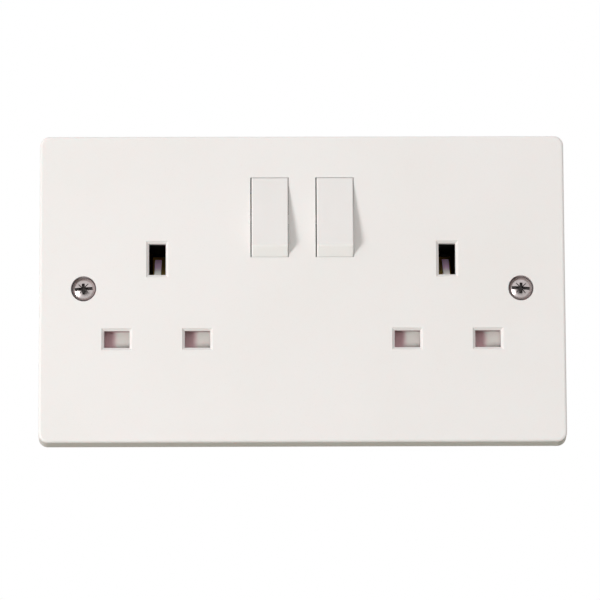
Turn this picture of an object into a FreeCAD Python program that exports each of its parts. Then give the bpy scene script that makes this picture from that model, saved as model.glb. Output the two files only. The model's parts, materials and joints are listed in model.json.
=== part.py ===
import FreeCAD, Part
import math
import os
from FreeCAD import Vector

# A twin 13 A switched socket outlet that screws to a two-gang wall box.
# Millimetres. Seen on the wall, X runs to the right, Z up and Y into the wall.
# The origin is the middle of the plate on the wall plane, so the plate's face is at negative Y.

# Face plate
plate_width = 146.0
plate_height = 86.0
plate_depth = 9.0
plate_draft = 0.5
plate_corner_r = 2.6
plate_edge_r = 0.7
plate_edge_flats = 3
face_wall = 2.5
rim_wall = 2.0
rib_wall = 1.2
rib_height = 4.0

# Outlets and the plug pins that they take
outlet_pitch = 80.0
pin_spacing = 22.2
pin_rise = 22.2
pin_row_z = -14.0
flat_pin_width = 6.35
flat_pin_length = 17.7
pin_thickness = 4.0
earth_pin_height = 8.0
earth_pin_length = 22.7
aperture_play = 0.65
aperture_bevel = 0.75

# Rocker switches
rocker_pitch = 18.0
rocker_z = 19.8
rocker_axis_depth = 4.0
rocker_width = 10.15
rocker_side_gap = 0.22
rocker_side_shift = 0.11
rocker_end_r = 11.7
rocker_end_gap = 0.12
rocker_top_proud = 0.2
rocker_apex_proud = 3.5
rocker_apex_drop = 8.3
rocker_apex_r = 0.8
rocker_edge = 0.3
rocker_skirt = 2.2
rocker_wall = 1.5
rocker_throw = 17.0
rocker_swing_gap = 0.8
trunnion_r = 1.3
trunnion_length = 1.7
trunnion_gap = 0.06
bearing_wall = 1.5
bearing_gap = 0.225
bearing_height = 4.0
keeper_gap = 0.1

# Sprung plunger in each rocker's stem
stem_r = 2.3
stem_length = 6.5
stem_root = 4.9
plunger_head_r = 1.35
plunger_head_length = 3.0
plunger_head_at = 2.5
plunger_tip_r = 1.0
plunger_tip_flat = 0.45
plunger_tip_taper = 0.7
plunger_reach = 11.0
plunger_gap = 0.08
plunger_give = 0.3
spring_bore_front = 2.5
plunger_spring_r = 1.0
plunger_spring_turns = 4

# See-saw contact arms
arm_length = 8.5
arm_width = 3.5
arm_metal = 0.8
arm_bend = 8.0
arm_tip_gap = 0.15
arm_seat_gap = 0.06
pivot_post_r = 0.5
pivot_ear = 0.6
pivot_ear_gap = 0.25
pivot_ear_rise = 1.6
pivot_ear_height = 3.0
contact_at = 7.3
contact_r = 1.5
moving_tip_height = 1.0
contact_gap = 0.08

# Shutters
shutter_thickness = 0.9
shutter_pad = 1.1
shutter_gap = 0.3
shutter_side_gap = 0.15
shutter_cover = 1.05
shutter_end_cover = 0.9
shutter_stem = 3.0
shutter_travel = 6.2
ramp_width = 1.8
ramp_foot_rise = 0.1
ramp_top_z = 9.4
ramp_depth = 7.0
ramp_thickness = 1.7
guide_height = 10.0
shutter_spring_r = 1.0
shutter_spring_length = 12.0
shutter_spring_turns = 5
spring_wire_r = 0.2
spring_steps = 8
spring_seat_wall = 1.6
spring_seat_half = 3.0

# Brass strip and spring clips
strip_metal = 0.8
strip_width = 4.0
earth_strip_width = 5.0
clip_metal = 0.6
clip_width = 5.6
earth_clip_height = 7.6
clip_root = 2.4
clip_grip = 1.75
clip_mouth = 2.9
clip_lead = 2.4
clip_mouth_y = 1.4
earth_clip_mouth_y = 3.6
pin_end_gap = 0.3
left_strip_x = -23.0
neutral_run_z = -22.5
line_cross_z = 4.5
eyelet_r = 4.2
eyelet_hole_r = 2.1
eyelet_recess = 0.1
strap_side_gap = 0.15

# Terminals
terminal_pitch = 13.0
terminal_z = -14.0
terminal_width = 8.0
terminal_height = 10.0
terminal_depth = 8.0
terminal_bore_r = 2.3
terminal_front_wall = 1.0
terminal_tab_width = 6.0
terminal_screw_r = 1.85
terminal_screw_gap = 0.05
terminal_tab_gap = 0.25
terminal_head_r = 2.9
terminal_head_height = 2.2
terminal_slot = 1.0
wire_gap = 0.9

# Rear housing
house_wall = 1.5
house_floor = 1.7
house_floor_gap = 0.1
house_corner = 2.0
house_edge = 0.8
pocket_wall = 1.2
clip_room_side = 0.4
clip_room_high = 0.9
strip_clear = 0.3
pad_width = 4.4
skirt_gap = 0.2
skirt_height = 4.5

# Screws
fixing_pitch = 120.6
fixing_r = 1.75
fixing_hole_r = 2.0
fixing_seat_r = 3.5
fixing_seat_depth = 0.7
fixing_relief = 0.8
fixing_head_r = 3.1
fixing_head_dome = 0.9
fixing_length = 25.0
fixing_neck_r = 1.55
fixing_thread_y = 0.5
fixing_boss_r = 4.75
fixing_slot = 0.9
fixing_slot_depth = 0.8
fixing_slot_half = 2.55
fixing_cross = 1.0
fixing_cross_half = 1.7
fixing_cross_depth = 1.3
house_screw_r = 1.4
house_screw_length = 5.8
house_screw_gap = 0.08
house_head_r = 2.8
house_head_height = 2.0
house_slot = 0.9
house_boss_r = 3.0
house_boss_length = 4.5
house_seat_wall = 2.0
house_sleeve = 8.6
house_well_r = 3.2
upper_house_screw = (32.0, 20.0)
lower_house_screw = (30.0, -3.0)

# How far a cutting shape runs past the face it opens, and the tolerance for picking edges by their place
over = 1.0
near_enough = 0.01

# Sides of small round shapes that nothing shows, of wells and holes in the housing, and of the fixing seats
hidden_sides = 10
well_sides = 16
seat_sides = 24

# Places worked out from the sizes above
front_y = -plate_depth
inner_y = front_y + face_wall
outlet_x = outlet_pitch / 2
pin_half = pin_spacing / 2
earth_z = pin_row_z + pin_rise
flat_width = flat_pin_width + aperture_play
flat_height = pin_thickness + aperture_play
earth_width = pin_thickness + aperture_play
earth_height = earth_pin_height + aperture_play

rocker_x = rocker_pitch / 2
rocker_y = front_y + rocker_axis_depth
opening_half = rocker_width / 2 + rocker_side_gap
opening_r = rocker_end_r + rocker_end_gap
rest_tilt = rocker_throw / 2
bearing_near = opening_half + bearing_gap
bearing_far = bearing_near + bearing_wall
trunnion_half = rocker_width / 2 + trunnion_length
notch_r = trunnion_r + trunnion_gap
bearing_end_y = inner_y + bearing_height

shutter_stem_y = inner_y + shutter_gap
shutter_front_y = shutter_stem_y + shutter_pad
shutter_back_y = shutter_front_y + shutter_thickness
shutter_half = pin_half + flat_width / 2 + shutter_end_cover
shutter_top_z = pin_row_z + flat_height / 2 + shutter_cover
shutter_foot_z = pin_row_z - flat_height / 2 - shutter_cover
ramp_foot_z = earth_z - earth_height / 2 + ramp_foot_rise
shutter_spring_y = (inner_y + shutter_back_y + shutter_gap) / 2
spring_seat_z = shutter_foot_z - shutter_spring_length

house_front_y = shutter_back_y + shutter_gap
line_y = front_y + flat_pin_length + pin_end_gap + clip_metal
line_back_y = line_y + strip_metal
earth_y = front_y + earth_pin_length + pin_end_gap + clip_metal
earth_back_y = earth_y + strip_metal
floor_y = earth_back_y + house_floor_gap
house_back_y = floor_y + house_floor
fixing_x = fixing_pitch / 2
eyelet_back_y = -eyelet_recess
eyelet_y = eyelet_back_y - strip_metal

flat_room_x = clip_width / 2 + clip_room_side
flat_room_z = clip_mouth + clip_metal + clip_room_high
earth_room_x = clip_mouth + clip_metal + clip_room_high
earth_room_z = earth_clip_height / 2 + clip_room_high
right_strip_x = outlet_x + earth_room_x + pocket_wall + strip_clear + strip_width / 2
house_upper_half = right_strip_x + strip_width / 2 + strip_clear + house_wall
shroud_clear = pocket_wall + strip_clear + house_wall
house_lower_half = outlet_x + pin_half + flat_room_x + shroud_clear
house_step_z = pin_row_z + flat_room_z + shroud_clear
house_top_z = rocker_z + rocker_end_r + rocker_swing_gap + house_wall
house_bottom_z = neutral_run_z - strip_width / 2 - strip_clear - house_wall

terminal_y = line_y - terminal_depth
terminal_bore_y = terminal_y + terminal_front_wall + terminal_bore_r

valley_y = rocker_y + plunger_reach - plunger_tip_r
valley_y += (plunger_tip_r + arm_tip_gap) / math.cos(math.radians(arm_bend))
arm_back_y = valley_y + arm_metal / math.cos(math.radians(arm_bend))
pivot_y = arm_back_y + (pivot_post_r + arm_seat_gap) / math.cos(math.radians(arm_bend))
ear_near = arm_width / 2 + pivot_ear_gap
ear_far = ear_near + pivot_ear

sides = {"left": -1, "right": 1}
line_pin_x = {"left": -outlet_x + pin_half, "right": outlet_x + pin_half}
neutral_pin_x = {"left": -outlet_x - pin_half, "right": outlet_x - pin_half}
house_screw_places = [(s * x, z) for x, z in (upper_house_screw, lower_house_screw) for s in (-1, 1)]
terminal_x = {"earth": -terminal_pitch, "line": 0.0, "neutral": terminal_pitch}


# Shape helpers

def block(x0, x1, y0, y1, z0, z1):
    return Part.makeBox(x1 - x0, y1 - y0, z1 - z0, Vector(x0, y0, z0))


def column(x, z, width, height, y0, y1):
    return block(x - width / 2, x + width / 2, y0, y1, z - height / 2, z + height / 2)


def disc(x, z, radius, y0, y1):
    return Part.makeCylinder(radius, y1 - y0, Vector(x, y0, z), Vector(0, 1, 0))


def faceted_corners(x, z, radius, y, count=hidden_sides):
    angles = [2 * math.pi * (k + 0.5) / count for k in range(count)]
    return [Vector(x + radius * math.cos(a), y, z + radius * math.sin(a)) for a in angles]


def faceted(x, z, radius, y0, y1, count=hidden_sides):
    """A disc with flat sides, its corners at this radius."""
    return prism(faceted_corners(x, z, radius, y0, count), Vector(0, y1 - y0, 0))


def solid_of(polygons):
    """A closed solid from its flat faces, each a list of corners."""
    faces = [Part.Face(Part.makePolygon(corners + corners[:1])) for corners in polygons]
    solid = Part.makeSolid(Part.makeShell(faces))
    if solid.Volume < 0:
        solid.reverse()
    return solid


def taper(x, z, radius0, radius1, y0, y1, count):
    """A cone's frustum with flat sides."""
    first = faceted_corners(x, z, radius0, y0, count)
    last = faceted_corners(x, z, radius1, y1, count)
    polygons = [first[::-1], last]
    for k in range(count):
        polygons.append([first[k - 1], first[k], last[k], last[k - 1]])
    return solid_of(polygons)


def rod_x(y, z, radius, x0, x1):
    return Part.makeCylinder(radius, x1 - x0, Vector(x0, y, z), Vector(1, 0, 0))


def prism(points, direction):
    wire = Part.makePolygon(points + points[:1])
    return Part.Face(wire).extrude(direction)


def prism_x(outline, x0, x1):
    """Extrude an outline of (y, z) points along X."""
    return prism([Vector(x0, y, z) for y, z in outline], Vector(x1 - x0, 0, 0))


def prism_z(outline, z0, z1):
    """Extrude an outline of (x, y) points along Z."""
    return prism([Vector(x, y, z0) for x, y in outline], Vector(0, 0, z1 - z0))


def join(shapes):
    return shapes[0].fuse(shapes[1:]).removeSplitter() if len(shapes) > 1 else shapes[0]


def unit(a, b):
    length = math.hypot(b[0] - a[0], b[1] - a[1])
    return (b[0] - a[0]) / length, (b[1] - a[1]) / length


def bent_strip(line, metal):
    """Outline of a folded strip: the given line is one face, the other lies on its left."""
    turns = [unit(a, b) for a, b in zip(line, line[1:])]
    offset = []
    for i, point in enumerate(line):
        before = turns[max(i - 1, 0)]
        after = turns[min(i, len(turns) - 1)]
        left = (-before[1] - after[1], before[0] + after[0])
        reach = metal / (1 + before[0] * after[0] + before[1] * after[1])
        offset.append((point[0] + left[0] * reach, point[1] + left[1] * reach))
    return line + offset[::-1]


def rounded_outline(half_width, half_height, radius, y):
    """Closed wire of a rectangle with round corners, in the plane at this y."""
    w = half_width
    h = half_height
    r = radius
    diagonal = r * (1 - math.sqrt(0.5))
    edges = []
    for sx, sz, turn in ((1, 1, 1), (-1, 1, -1), (-1, -1, 1), (1, -1, -1)):
        side = Vector(sx * w, y, sz * (h - r))
        middle = Vector(sx * (w - diagonal), y, sz * (h - diagonal))
        end = Vector(sx * (w - r), y, sz * h)
        first, last = (side, end) if turn > 0 else (end, side)
        edges.append(Part.Arc(first, middle, last).toShape())
    corners = edges[:]
    edges = []
    for this, following in zip(corners, corners[1:] + corners[:1]):
        edges.append(this)
        edges.append(Part.LineSegment(this.Vertexes[-1].Point, following.Vertexes[0].Point).toShape())
    return Part.Wire(edges)


def frustum(x, z, width, height, y0, grow, y1):
    """A rectangular funnel: width by height at y1, wider by grow on every side at y0."""
    wires = []
    for y, extra in ((y0, grow), (y1, 0)):
        w = width / 2 + extra
        h = height / 2 + extra
        corners = [Vector(x + sx * w, y, z + sz * h) for sx, sz in ((1, 1), (-1, 1), (-1, -1), (1, -1))]
        wires.append(Part.makePolygon(corners + corners[:1]))
    return Part.makeLoft(wires, True, True)


def strip_plan(rects, y0, y1, grow=0.0):
    """Flat strip made of overlapping rectangles (x0, x1, z0, z1)."""
    return join([block(x0 - grow, x1 + grow, y0, y1, z0 - grow, z1 + grow) for x0, x1, z0, z1 in rects])


def turn_x(shape, y, z, degrees):
    turned = shape.copy()
    turned.rotate(Vector(0, y, z), Vector(1, 0, 0), degrees)
    return turned


def coil(radius, length, turns):
    """Compression spring along +Z from the origin, its wire laid in short straight lengths."""
    r = spring_wire_r
    up = Vector(0, 0, 1)
    count = turns * spring_steps
    sections = []
    for k in range(count + 1):
        angle = 2 * math.pi * k / spring_steps
        out = Vector(math.cos(angle), math.sin(angle), 0)
        centre = out * radius + up * (r + (length - 2 * r) * k / count)
        sections.append([centre + out * r, centre + up * r, centre - out * r, centre - up * r])
    polygons = [sections[0], sections[-1][::-1]]
    for first, last in zip(sections, sections[1:]):
        for k in range(len(first)):
            polygons.append([first[k], first[k - 1], last[k - 1]])
            polygons.append([first[k], last[k - 1], last[k]])
    return solid_of(polygons)


# Brass strip plans, shared by the strips and by the housing that clears them

def line_strip_rects(side):
    half = strip_width / 2
    run_x = left_strip_x if side == "left" else right_strip_x
    contact_x = sides[side] * rocker_x
    foot_x = line_pin_x[side]
    reach = strip_width / 2 + strip_clear
    top = (min(contact_x - reach, run_x - half), max(contact_x + reach, run_x + half))
    foot = (min(foot_x - clip_width / 2, run_x - half), max(foot_x + clip_width / 2, run_x + half))
    return [
        (top[0], top[1], fixed_tip_z - half, fixed_tip_z + half),
        (run_x - half, run_x + half, pin_row_z - half, fixed_tip_z + half),
        (foot[0], foot[1], pin_row_z - half, pin_row_z + half),
    ]


def neutral_rects():
    half = strip_width / 2
    foot = clip_width / 2
    low = neutral_run_z - half
    rects = [(x - foot, x + foot, low, pin_row_z + half) for x in neutral_pin_x.values()]
    rects.append((neutral_pin_x["left"] - foot, neutral_pin_x["right"] + foot, low, low + strip_width))
    tab = terminal_tab_width / 2
    top = terminal_z + terminal_height / 2 - strip_clear
    rects.append((terminal_x["neutral"] - tab, terminal_x["neutral"] + tab, low, top))
    return rects


def line_bar_rects():
    half = strip_width / 2
    tab = terminal_tab_width / 2
    low = terminal_z - terminal_height / 2 + strip_clear
    rects = [(terminal_x["line"] - tab, terminal_x["line"] + tab, low, line_cross_z + half)]
    rects.append((-rocker_x - half, rocker_x + half, line_cross_z - half, line_cross_z + half))
    for side in sides.values():
        x = side * rocker_x
        rects.append((x - half, x + half, line_cross_z - half, rocker_z + half))
        rects.append((x - ear_far, x + ear_far, rocker_z - half, rocker_z + half))
    return rects


def turned_point(y, z, degrees):
    """A point of the contact arm, as (y, z) from the pivot, after the arm turns about it."""
    c = math.cos(math.radians(degrees))
    s = math.sin(math.radians(degrees))
    return y * c - z * s, y * s + z * c


bend_sin = math.sin(math.radians(arm_bend))
bend_cos = math.cos(math.radians(arm_bend))
closed_tip = turned_point(
    valley_y - pivot_y - contact_at * bend_sin + arm_metal * bend_cos,
    contact_at * bend_cos + arm_metal * bend_sin,
    -arm_bend,
)
fixed_tip_z = rocker_z + closed_tip[1]
fixed_tip_y = pivot_y + closed_tip[0] + moving_tip_height + contact_gap


# Face plate

def plate_outline(y, inset, radius):
    slope = plate_draft * -y / plate_depth
    return rounded_outline(plate_width / 2 - slope - inset, plate_height / 2 - slope - inset, radius, y)


def plate_shell():
    """The plate's box: drafted sides, and a front edge eased by narrow flats."""
    rims = [plate_outline(0, 0, plate_corner_r)]
    for k in range(plate_edge_flats + 1):
        angle = math.pi / 2 * k / plate_edge_flats
        inset = plate_edge_r * (1 - math.cos(angle))
        y = front_y + plate_edge_r * (1 - math.sin(angle))
        rims.append(plate_outline(y, inset, plate_corner_r - inset))
    outer = Part.makeLoft(rims, True, True)
    inner_r = max(plate_corner_r - rim_wall, plate_edge_r)
    cavity_rims = [plate_outline(y, rim_wall, inner_r) for y in (0, inner_y)]
    return outer.cut(Part.makeLoft(cavity_rims, True, True))


def bearing_ribs(side):
    """Two walls beside a rocker opening, notched for the rocker's trunnions."""
    x = sides[side] * rocker_x
    half = rocker_end_r + rocker_swing_gap - strip_clear
    ribs = []
    for s in (-1, 1):
        near, far = sorted((x + s * bearing_near, x + s * bearing_far))
        rib = block(near, far, inner_y, bearing_end_y, rocker_z - half, rocker_z + half)
        slot = block(near, far, rocker_y, bearing_end_y, rocker_z - notch_r, rocker_z + notch_r)
        ribs.append(rib.cut([slot, rod_x(rocker_y, rocker_z, notch_r, near, far)]))
    return ribs


def shutter_guides(side):
    """Pads and ribs that guide a shutter's blade and stem, and the seat of its spring."""
    x = sides[side] * outlet_x
    y1 = shutter_back_y
    pad_y = inner_y + shutter_pad
    low = shutter_foot_z - shutter_travel
    ribs = []
    for s in (-1, 1):
        near = shutter_half + shutter_side_gap
        pad = sorted((x + s * (pin_half - flat_width / 2 - shutter_end_cover), x + s * near))
        ribs.append(block(pad[0], pad[1], inner_y, pad_y, low, shutter_top_z))
        blade = sorted((x + s * near, x + s * (near + rib_wall)))
        ribs.append(block(blade[0], blade[1], inner_y, y1, low, shutter_top_z))
        near = shutter_stem / 2 + shutter_side_gap
        stem = sorted((x + s * near, x + s * (near + rib_wall)))
        low_stem = shutter_top_z + shutter_side_gap
        ribs.append(block(stem[0], stem[1], inner_y, y1, low_stem, low_stem + guide_height))
    seat = spring_seat_half
    ribs.append(block(x - seat, x + seat, inner_y, y1, spring_seat_z - spring_seat_wall, spring_seat_z))
    return ribs


def house_outline(grow):
    """Stepped outline of the housing as (x, z) points, wider by grow all round."""
    upper = house_upper_half + grow
    lower = house_lower_half + grow
    top = house_top_z + grow
    step = house_step_z + grow
    bottom = house_bottom_z - grow
    return [
        (-lower, bottom), (lower, bottom), (lower, step), (upper, step),
        (upper, top), (-upper, top), (-upper, step), (-lower, step),
    ]


def house_prism(grow, y0, y1):
    return prism([Vector(x, y0, z) for x, z in house_outline(grow)], Vector(0, y1 - y0, 0))


def end_ribs(s):
    """Stiffening ribs between a fixing boss and the plate's rim."""
    x0 = fixing_x
    x1 = plate_width / 2 - rim_wall
    near, far = sorted((s * x0, s * x1))
    y1 = inner_y + rib_height
    across = block(near, far, inner_y, y1, -rib_wall / 2, rib_wall / 2)
    reach = plate_height / 2 - rim_wall
    along = block(s * x0 - rib_wall / 2, s * x0 + rib_wall / 2, inner_y, y1, -reach, reach)
    return [across, along]


def front_plate():
    skirt_y = inner_y + skirt_height
    skirt = house_prism(skirt_gap + rib_wall, inner_y, skirt_y).cut(house_prism(skirt_gap, inner_y, skirt_y))
    room = shutter_spring_r + spring_wire_r + strip_clear
    spring_ways = []
    for s in sides.values():
        x = s * outlet_x
        spring_ways.append(block(x - room, x + room, inner_y, skirt_y, spring_seat_z, shutter_foot_z))
    pieces = [plate_shell(), skirt.cut(spring_ways)]
    for side, s in sides.items():
        pieces += bearing_ribs(side) + shutter_guides(side) + end_ribs(s)
        pieces.append(faceted(s * fixing_x, 0, fixing_boss_r, inner_y, eyelet_y, well_sides))
    for x, z in house_screw_places:
        pieces.append(faceted(x, z, house_boss_r, inner_y, inner_y + house_boss_length))
    plate = pieces[0].fuse(pieces[1:])

    outside = front_y - over
    cuts = []
    for s in sides.values():
        x = s * outlet_x
        flats = [(x + p * pin_half, pin_row_z, flat_width, flat_height) for p in (-1, 1)]
        for px, pz, w, h in flats + [(x, earth_z, earth_width, earth_height)]:
            cuts.append(column(px, pz, w, h, outside, inner_y + shutter_pad + over))
            cuts.append(frustum(px, pz, w, h, outside, aperture_bevel + over, front_y + aperture_bevel))
        rx = s * rocker_x
        opening = rod_x(rocker_y, rocker_z, opening_r, rx - opening_half, rx + opening_half)
        through_face = column(rx, rocker_z, 2 * opening_half, 2 * opening_r, outside, inner_y)
        cuts.append(opening.common(through_face))
        fx = s * fixing_x
        seat_y = front_y + fixing_seat_depth
        cone_end_y = seat_y + fixing_seat_r - fixing_hole_r
        relief_y = seat_y + fixing_seat_r - fixing_head_r + fixing_relief
        cuts.append(faceted(fx, 0, fixing_seat_r, outside, relief_y, seat_sides))
        cuts.append(taper(fx, 0, fixing_seat_r, fixing_hole_r, seat_y, cone_end_y, seat_sides))
        cuts.append(faceted(fx, 0, fixing_hole_r, outside, over, seat_sides))
    seat = inner_y + house_boss_length
    for x, z in house_screw_places:
        tip_y = seat - house_screw_length - house_screw_gap
        cuts.append(faceted(x, z, house_screw_r + house_screw_gap, tip_y, seat))
    return plate.cut(cuts).removeSplitter()


# Rockers with their plungers, modelled at rest: switched off, with the top flush and the foot out

def rocker_profile(x0, skirt):
    """Side outline about the trunnion axis: flat face, blunt nose, ends that are arcs about the axis."""
    def at(forward, up):
        return Vector(x0, rocker_y - forward, rocker_z + up)

    def on_arc(forward, s):
        return at(forward, s * math.sqrt(rocker_end_r ** 2 - forward ** 2))

    top = rocker_axis_depth + rocker_top_proud
    apex = at(rocker_axis_depth + rocker_apex_proud, -rocker_apex_drop)
    nose = rocker_axis_depth
    edges = [
        Part.LineSegment(on_arc(top, 1), apex),
        Part.LineSegment(apex, on_arc(nose, -1)),
        Part.Arc(on_arc(nose, -1), on_arc((nose - skirt) / 2, -1), on_arc(-skirt, -1)),
        Part.LineSegment(on_arc(-skirt, -1), on_arc(-skirt, 1)),
        Part.Arc(on_arc(-skirt, 1), on_arc((top - skirt) / 2, 1), on_arc(top, 1)),
    ]
    return Part.Face(Part.Wire([e.toShape() for e in edges]))


def stem_rod(x, radius, start, end):
    """A rod on the stem's axis, from start to end behind the trunnion axis, tilted as the rocker rests."""
    rod = faceted(x, rocker_z, radius, rocker_y + start, rocker_y + end)
    return turn_x(rod, rocker_y, rocker_z, -rest_tilt)


def rocker(side):
    x = sides[side] * rocker_x + rocker_side_shift
    half = rocker_width / 2
    body = rocker_profile(x - half, rocker_skirt).extrude(Vector(rocker_width, 0, 0))
    apex_y = front_y - rocker_apex_proud + near_enough
    apex = [e for e in body.Edges if e.BoundBox.YMax < apex_y and e.BoundBox.XLength > half]
    body = body.makeFillet(rocker_apex_r, apex)
    proud = [e for e in body.Edges if e.BoundBox.YMax < front_y + near_enough]
    body = body.makeChamfer(rocker_edge, [e for e in proud if e.BoundBox.XLength < near_enough])
    hollow = rocker_profile(x - half, rocker_skirt + 2 * rocker_wall).makeOffset2D(-rocker_wall)
    hollow.translate(Vector(rocker_wall, 0, 0))
    hollow = hollow.extrude(Vector(rocker_width - 2 * rocker_wall, 0, 0))
    pieces = [body.cut(hollow), stem_rod(x, stem_r, -stem_root, stem_length)]
    for s in (-1, 1):
        near, far = sorted((x + s * (half - rocker_wall / 2), x + s * trunnion_half))
        pieces.append(rod_x(rocker_y, rocker_z, trunnion_r, near, far))
    bore = stem_rod(x, plunger_head_r + plunger_gap, -spring_bore_front, stem_length + over)
    return join(pieces).cut(bore)


def plunger(side):
    x = sides[side] * rocker_x + rocker_side_shift
    head_y = rocker_y + plunger_head_at
    neck_y = head_y + plunger_head_length
    taper_y = rocker_y + plunger_reach - plunger_tip_taper
    solid = [
        faceted(x, rocker_z, plunger_head_r, head_y, neck_y),
        faceted(x, rocker_z, plunger_tip_r, neck_y, taper_y),
        taper(x, rocker_z, plunger_tip_r, plunger_tip_flat, taper_y, rocker_y + plunger_reach, hidden_sides),
    ]
    return turn_x(join(solid), rocker_y, rocker_z, -rest_tilt)


def plunger_spring(side):
    x = sides[side] * rocker_x + rocker_side_shift
    length = spring_bore_front + plunger_head_at - plunger_give
    spring = coil(plunger_spring_r, length, plunger_spring_turns)
    spring.rotate(Vector(0, 0, 0), Vector(1, 0, 0), -90)
    spring.translate(Vector(x, rocker_y - spring_bore_front, rocker_z))
    return turn_x(spring, rocker_y, rocker_z, -rest_tilt)


# See-saw contact arms, at rest with the upper end forward and the contact open

def switch_arm(side):
    x = sides[side] * rocker_x
    end_y = valley_y - arm_length * bend_sin
    end_z = arm_length * bend_cos
    back_y = end_y + arm_metal * bend_cos
    back_z = end_z + arm_metal * bend_sin
    outline = [
        (valley_y, rocker_z), (end_y, rocker_z + end_z), (back_y, rocker_z + back_z),
        (arm_back_y, rocker_z), (back_y, rocker_z - back_z), (end_y, rocker_z - end_z),
    ]
    return turn_x(prism_x(outline, x - arm_width / 2, x + arm_width / 2), pivot_y, rocker_z, arm_bend)


def moving_tip(side):
    x = sides[side] * rocker_x
    root_y = pivot_y + closed_tip[0]
    tip = faceted(x, fixed_tip_z, contact_r, root_y, root_y + moving_tip_height)
    return turn_x(tip, pivot_y, rocker_z, 2 * arm_bend)


# Shutters and their springs

def shutter(side):
    x = sides[side] * outlet_x
    y0 = shutter_stem_y
    y1 = shutter_back_y
    blade = block(x - shutter_half, x + shutter_half, shutter_front_y, y1, shutter_foot_z, shutter_top_z)
    neck_z = ramp_foot_z - ramp_thickness
    stem = block(x - shutter_stem / 2, x + shutter_stem / 2, y0, y1, shutter_foot_z, neck_z)
    finger = [
        (y0, ramp_foot_z), (y0 + ramp_depth, ramp_top_z), (y0 + ramp_depth + ramp_thickness, ramp_top_z),
        (y1, neck_z), (y0, neck_z),
    ]
    return join([blade, stem, prism_x(finger, x - ramp_width / 2, x + ramp_width / 2)])


def shutter_spring(side):
    spring = coil(shutter_spring_r, shutter_spring_length, shutter_spring_turns)
    spring.translate(Vector(sides[side] * outlet_x, shutter_spring_y, spring_seat_z))
    return spring


# Brass work

def clip_outline(depth):
    """Inner line of a spring clip as (across, forward of its base): two bowed leaves with flared mouths."""
    bow = depth - clip_lead
    leaf = [(clip_mouth, depth), (clip_grip, bow), (clip_root, 0)]
    line = leaf + [(-a, d) for a, d in leaf[::-1]]
    return bent_strip(line, clip_metal)


def flat_clip(x):
    base_y = line_y - clip_metal
    outline = [(base_y - d, pin_row_z + a) for a, d in clip_outline(base_y - clip_mouth_y)]
    return prism_x(outline, x - clip_width / 2, x + clip_width / 2)


def earth_clip(side):
    x = sides[side] * outlet_x
    base_y = earth_y - clip_metal
    outline = [(x + a, base_y - d) for a, d in clip_outline(base_y - earth_clip_mouth_y)]
    return prism_z(outline, earth_z - earth_clip_height / 2, earth_z + earth_clip_height / 2)


def line_strip(side):
    return strip_plan(line_strip_rects(side), line_y, line_back_y)


def fixed_contact_tips():
    places = [s * rocker_x for s in sides.values()]
    return Part.makeCompound([faceted(x, fixed_tip_z, contact_r, fixed_tip_y, line_y) for x in places])


def terminal_hole(name):
    radius = terminal_screw_r + terminal_tab_gap
    return faceted(terminal_x[name], terminal_z, radius, line_y - over, line_back_y + over)


def neutral_bar():
    return strip_plan(neutral_rects(), line_y, line_back_y).cut(terminal_hole("neutral"))


def pivot_post(x, half):
    """A post with a round nose that a contact arm rocks on."""
    def at(y, rise):
        return Vector(x - half, y, rocker_z + rise)

    r = pivot_post_r
    edges = [
        Part.LineSegment(at(line_y, -r), at(pivot_y, -r)),
        Part.Arc(at(pivot_y, -r), at(pivot_y - r, 0), at(pivot_y, r)),
        Part.LineSegment(at(pivot_y, r), at(line_y, r)),
        Part.LineSegment(at(line_y, r), at(line_y, -r)),
    ]
    return Part.Face(Part.Wire([e.toShape() for e in edges])).extrude(Vector(2 * half, 0, 0))


def line_bar():
    """Strip from the line terminal to the two pivot posts, each with ears that keep its arm in place."""
    pieces = [strip_plan(line_bar_rects(), line_y, line_back_y)]
    for s in sides.values():
        x = s * rocker_x
        pieces.append(pivot_post(x, ear_near + pivot_ear / 2))
        for e in (-1, 1):
            ear_x = x + e * (ear_near + ear_far) / 2
            ear_y = pivot_y - pivot_ear_rise
            pieces.append(column(ear_x, rocker_z, pivot_ear, pivot_ear_height, ear_y, line_y))
    return join(pieces).cut(terminal_hole("line"))


def earth_bar():
    """Strip between the earth clips, folded forward at both ends to an eyelet under each fixing screw."""
    fold = house_upper_half + strap_side_gap
    end = fixing_x + eyelet_r
    low = earth_z - earth_strip_width / 2
    high = earth_z + earth_strip_width / 2
    half_line = [(fold, earth_y), (fold, eyelet_y), (end, eyelet_y)]
    line = [(-x, y) for x, y in half_line[::-1]] + half_line
    pieces = [prism_z(bent_strip(line, strip_metal), low, high)]
    tab_x = terminal_x["earth"]
    tab = terminal_tab_width / 2
    drop = line_cross_z - strip_width / 2 - terminal_tab_width / 2
    tab_end = terminal_z - terminal_height / 2 + strip_clear
    tab_line = [(earth_y, low + over), (earth_y, drop), (line_y, drop), (line_y, tab_end)]
    pieces.append(prism_x(bent_strip(tab_line, strip_metal), tab_x - tab, tab_x + tab))
    for s in (-1, 1):
        x = s * fixing_x
        pieces.append(faceted(x, 0, eyelet_r, eyelet_y, eyelet_back_y, well_sides))
        pieces.append(block(x - eyelet_r, x + eyelet_r, eyelet_y, eyelet_back_y, 0, high))
    holes = [terminal_hole("earth")]
    for s in (-1, 1):
        x = s * fixing_x
        holes.append(faceted(x, 0, eyelet_hole_r, eyelet_y - over, eyelet_back_y + over, well_sides))
    return join(pieces).cut(holes)


def terminal(name):
    """Pillar terminal: a brass block with a wire bore from below and a screw hole from behind."""
    x = terminal_x[name]
    body = column(x, terminal_z, terminal_width, terminal_height, terminal_y, line_y)
    mouth = Vector(x, terminal_bore_y, terminal_z - terminal_height / 2)
    bore = Part.makeCylinder(terminal_bore_r, terminal_height, mouth, Vector(0, 0, 1))
    thread = faceted(x, terminal_z, terminal_screw_r + terminal_screw_gap, terminal_bore_y, line_y)
    return body.cut([bore, thread])


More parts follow.
